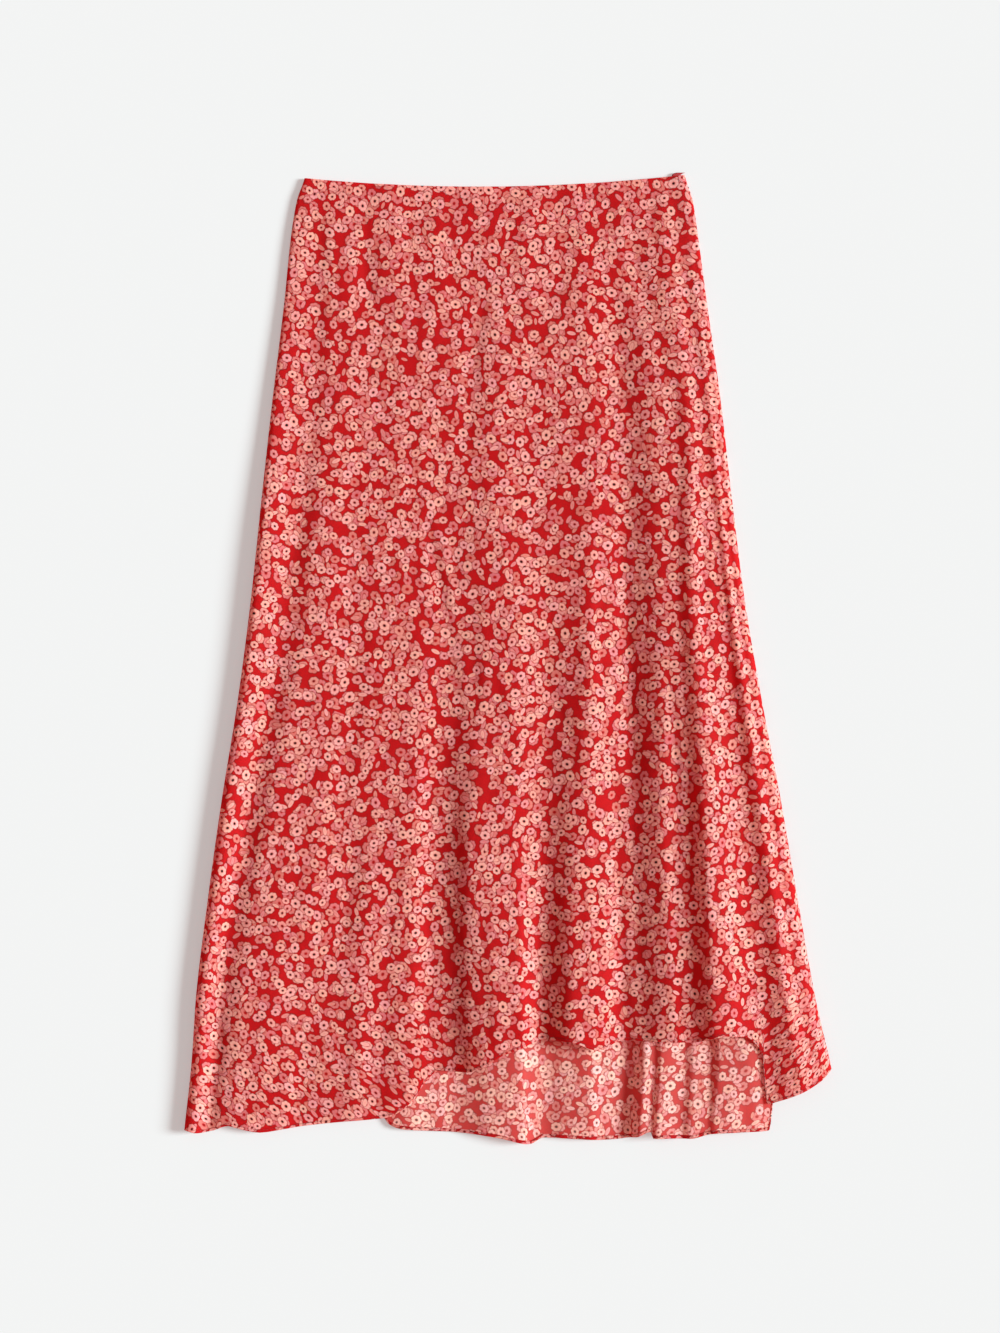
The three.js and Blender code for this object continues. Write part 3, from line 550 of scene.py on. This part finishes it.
thread = {"colour": "a8161f", "deep": "8c1018", "roughness": 0.5, "twistScale": 2500.0,
          "long": 2.2, "thick": 0.36, "pitch": 3.0, "sides": 6, "bevel": 0.12, "lift": 0.05}


# spun polyester thread: a soft gloss and a fine twist
def sewingThread():
    material = bpy.data.materials.new("polyesterThread")
    material.use_nodes = True
    tree = material.node_tree
    shader = tree.nodes["Principled BSDF"]
    place = addNode(tree, "ShaderNodeTexCoord").outputs["Object"]
    twist = addNode(tree, "ShaderNodeTexNoise", {"Vector": place, "Scale": thread["twistScale"],
                                                "Detail": 2.0})
    colour = addNode(tree, "ShaderNodeMix", {0: twist.outputs["Fac"], 6: linear(thread["deep"]),
                                             7: linear(thread["colour"])}, data_type="RGBA")
    tree.links.new(colour.outputs[2], shader.inputs["Base Color"])
    shader.inputs["Roughness"].default_value = thread["roughness"]
    return material


zipTape = {
    "colour": "a3161c", "deep": "7e0d14", "roughness": 0.55,
    "thread": 0.9, "bandWidth": 0.31, "ribLift": 0.2,  # a band of the wave pattern is 0.31 over its scale
    "width": 8, "columns": 7, "thick": 0.6, "high": 1.9,
    "bottom": 178, "bendStart": 4, "rows": 40,  # straight up from the lower end
    "bendEnd": 3, "top": -2.8, "topRows": 9,  # closer rows where the top end leans out
    "inFromSeam": [(-2.8, -0.6), (-1.4, 3.0), (2, 4.4), (60, 5.2), (120, 6), (178, 6)],  # down, in
}


# woven polyester zip tape: ribbed along its length, with a slight gloss and painted shade in the grooves
# between the ribs
def wovenTape():
    material = bpy.data.materials.new("wovenZipTape")
    material.use_nodes = True
    tree = material.node_tree
    shader = tree.nodes["Principled BSDF"]
    lengths = addNode(tree, "ShaderNodeUVMap", uv_map="clothLengths").outputs[0]
    ribs = addNode(tree, "ShaderNodeTexWave", {"Vector": lengths, "Distortion": 0.4, "Detail": 1.0,
                                               "Scale": zipTape["bandWidth"] / (zipTape["thread"] * mm)},
                   bands_direction="X")
    # painted shade: the low bands of the ribs, where the bump sinks, take the darker colour
    colour = addNode(tree, "ShaderNodeMix", {0: ribs.outputs["Fac"], 6: linear(zipTape["deep"]),
                                             7: linear(zipTape["colour"])}, data_type="RGBA")
    tree.links.new(colour.outputs[2], shader.inputs["Base Color"])
    shader.inputs["Roughness"].default_value = zipTape["roughness"]
    bump = addNode(tree, "ShaderNodeBump", {"Strength": 0.5, "Distance": zipTape["ribLift"] * mm,
                                            "Height": ribs.outputs["Fac"]})
    tree.links.new(bump.outputs[0], shader.inputs["Normal"])
    return material


rightSide = printedCrepe("printedCrepe")
wrongSide = printedCrepe("printedCrepeWrongSide", wrongSide=True)
threadFinish = sewingThread()
tapeFinish = wovenTape()
print("materials made")

# the two panels
frontShape = makeShape(frontFolds, frontHem, isFront=True)
backShape = makeShape(backFolds, backHem, isFront=False)
frontPoints = panelGrid(frontShape)
backPoints = panelGrid(backShape)
frontLengths = clothLengths(frontPoints)
backLengths = clothLengths(backPoints) + skirt["backPrint"]
frontPanel = gridPiece("frontPanel", frontPoints, frontLengths, [rightSide, wrongSide])
thicken(frontPanel, skirt["cloth"])
backPanel = gridPiece("backPanel", backPoints, backLengths, [rightSide, wrongSide])
thicken(backPanel, skirt["cloth"], flip=True)
print("panels made")


def normalsOf(points):
    across = np.gradient(points, axis=1)
    along = np.gradient(points, axis=0)
    normal = np.cross(across, along)
    return normal / np.linalg.norm(normal, axis=2, keepdims=True)


hemBand = {"thick": 0.4, "above": 0.12, "shortOfSeam": 4}  # in columns of the fold tables
inset = hemBand["shortOfSeam"] * skirt["finer"]


def hemPiece(name, points, lengths, upward):  # the turned hem, on the panel's inner side
    rows = len(skirt["hemRows"]) - 1  # from the hem's edge to just past its stitches
    under = (skirt["cloth"] + hemBand["above"]) * mm
    strip = points[:rows, inset:-inset] + normalsOf(points)[:rows, inset:-inset] * under * upward
    piece = gridPiece(name, strip, lengths[:rows, inset:-inset] * [1, -1], [rightSide])
    thicken(piece, -hemBand["thick"] if upward > 0 else hemBand["thick"])
    return piece


frontHemPiece = hemPiece("frontHem", frontPoints, frontLengths, -1)
backHemPiece = hemPiece("backHem", backPoints, backLengths, 1)
print("hems made")


# one stitch, modelled once and laid along a line of points
def stitchLine(name, line, normals):
    deselectAll()
    bpy.ops.mesh.primitive_cylinder_add(vertices=thread["sides"], radius=thread["thick"] / 2 * mm,
                                        depth=thread["long"] * mm, rotation=(0, math.pi / 2, 0))
    one = bpy.context.object
    bpy.ops.object.transform_apply(location=True, rotation=True, scale=True)
    bpy.ops.object.mode_set(mode="EDIT")
    bpy.ops.mesh.select_all(action="SELECT")
    bpy.ops.mesh.bevel(offset=thread["bevel"] * mm, segments=1)
    bpy.ops.object.mode_set(mode="OBJECT")
    steps = np.linalg.norm(np.diff(line, axis=0), axis=1)
    walked = np.concatenate([[0], np.cumsum(steps)])
    places = np.arange(thread["pitch"] / 2, walked[-1] / mm, thread["pitch"]) * mm
    deselectAll()
    copies = []
    for place in places:
        i = min(np.searchsorted(walked, place) - 1, len(steps) - 1)
        centre = line[i] + (line[i + 1] - line[i]) * (place - walked[i]) / steps[i]
        run = (line[i + 1] - line[i]) / steps[i]
        up = normals[i] / np.linalg.norm(normals[i])
        side = np.cross(up, run)
        copy = one.copy()
        copy.data = one.data.copy()
        turn = np.eye(4)
        turn[:3, 0], turn[:3, 1], turn[:3, 2], turn[:3, 3] = run, side, up, centre
        copy.matrix_world = mathutils.Matrix(turn.tolist())
        bpy.context.collection.objects.link(copy)
        copies.append(copy)
    one.select_set(True)
    bpy.context.view_layer.objects.active = one
    bpy.ops.object.delete()
    for copy in copies:
        copy.select_set(True)
    bpy.context.view_layer.objects.active = copies[0]
    bpy.ops.object.join()
    bpy.ops.object.transform_apply(location=True, rotation=True, scale=True)
    bpy.ops.object.shade_smooth()
    piece = bpy.context.object
    piece.name = piece.data.name = name
    piece.data.materials.append(threadFinish)
    return piece


stitchRow = skirt["hemRows"][::-1].index(skirt["stitchRow"])
frontNormals = normalsOf(frontPoints)[stitchRow, inset:-inset]
backNormals = normalsOf(backPoints)[stitchRow, inset:-inset]
frontStitches = stitchLine("frontHemStitches",
                           frontPoints[stitchRow, inset:-inset] + [0, 0, thread["lift"] * mm], frontNormals)
bandTop = (skirt["cloth"] + hemBand["above"] + hemBand["thick"]) * mm
backStitches = stitchLine("backHemStitches",
                          backPoints[stitchRow, inset:-inset] + backNormals * bandTop, backNormals)
print("stitches made")

# the zip's tape inside the right seam; its top end leans out above the waist
tapeDown = np.concatenate([np.linspace(zipTape["bottom"], zipTape["bendStart"], zipTape["rows"]),
                           np.linspace(zipTape["bendEnd"], zipTape["top"], zipTape["topRows"])])
tapeIn = curveThrough([row[0] for row in zipTape["inFromSeam"]],
                      [row[1] for row in zipTape["inFromSeam"]])(tapeDown)
tapeAcross = np.linspace(zipTape["width"], 0, zipTape["columns"])
tapeX = (rightSeamX(tapeDown) - tapeIn)[:, None] - tapeAcross[None]
tapeY = np.repeat((skirt["waistY"] - tapeDown)[:, None], zipTape["columns"], 1)
tapeZ = np.full_like(tapeX, zipTape["high"])
tapePoints = np.stack([tapeX, tapeY, tapeZ], 2) * mm
sideZip = gridPiece("sideZip", tapePoints, clothLengths(tapePoints), [tapeFinish])
thicken(sideZip, zipTape["thick"])
print("zip tape made")

# floor, light and camera
studio = {"floor": "a6a9a9", "floorGlow": 0.33, "floorSize": 40.0, "floorCells": 8,
          "floorGap": 0.4,  # the floor lies this far below the skirt
          "sun": 8.2, "sunHeight": 25, "sunTurn": 3, "sunAngle": 18, "sunTint": "eefdff",
          "sky": 0.55, "skyTint": "ffd6ce",
          "photoScale": 0.9, "photoWidth": 1000, "photoHeight": 1333,  # millimetres a pixel, and pixels
          "photoZeroX": 508.25, "photoZeroY": 657.8,  # the pixel that shows the origin
          "lens": 85, "sensor": 36, "lookHeight": 6}  # the scale holds this far above the floor

deselectAll()
bpy.ops.mesh.primitive_grid_add(x_subdivisions=studio["floorCells"], y_subdivisions=studio["floorCells"],
                                size=studio["floorSize"], location=(0, 0, -studio["floorGap"] * mm))
floor = bpy.context.object
bpy.ops.object.transform_apply(location=True, rotation=True, scale=True)
floor.name = floor.data.name = "floor"
paper = bpy.data.materials.new("matteStudioPaper")  # uncoated paper, even and without gloss
paper.use_nodes = True
paperFace = paper.node_tree.nodes["Principled BSDF"]
paperFace.inputs["Base Color"].default_value = linear(studio["floor"])
paperFace.inputs["Roughness"].default_value = 1.0
paperFace.inputs["Specular IOR Level"].default_value = 0.0
paperFace.inputs["Emission Color"].default_value = (1, 1, 1, 1)
paperFace.inputs["Emission Strength"].default_value = studio["floorGlow"]
floor.data.materials.append(paper)

sunTilt, sunTurn = math.radians(90 - studio["sunHeight"]), math.radians(studio["sunTurn"])
bpy.ops.object.light_add(type="SUN", location=(1, 0, 1), rotation=(0, sunTilt, sunTurn))
sun = bpy.context.object
sun.data.energy = studio["sun"]
sun.data.color = linear(studio["sunTint"])[:3]
sun.data.angle = math.radians(studio["sunAngle"])
sky = bpy.data.worlds.new("softStudio")
sky.use_nodes = True
sky.node_tree.nodes["Background"].inputs[0].default_value = linear(studio["skyTint"])
sky.node_tree.nodes["Background"].inputs[1].default_value = studio["sky"]
bpy.context.scene.world = sky

tall = studio["photoHeight"] * studio["photoScale"] * mm
away = tall * studio["lens"] / studio["sensor"] + studio["lookHeight"] * mm
aimX = (studio["photoWidth"] / 2 - studio["photoZeroX"]) * studio["photoScale"] * mm
aimY = (studio["photoZeroY"] - studio["photoHeight"] / 2) * studio["photoScale"] * mm
bpy.ops.object.camera_add(location=(aimX, aimY, away), rotation=(0, 0, 0))
camera = bpy.context.object
camera.data.lens = studio["lens"]
camera.data.sensor_width = studio["sensor"]
bpy.context.scene.camera = camera
bpy.context.scene.view_settings.view_transform = "Standard"
print("studio made")

# what each piece is, and what it rides on
for piece in (frontPanel, backPanel, frontHemPiece, backHemPiece, frontStitches, backStitches, sideZip):
    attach(piece, "root")
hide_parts("front_panel")
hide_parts("back_panel")
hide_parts("back_hem")
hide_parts("side_zip")
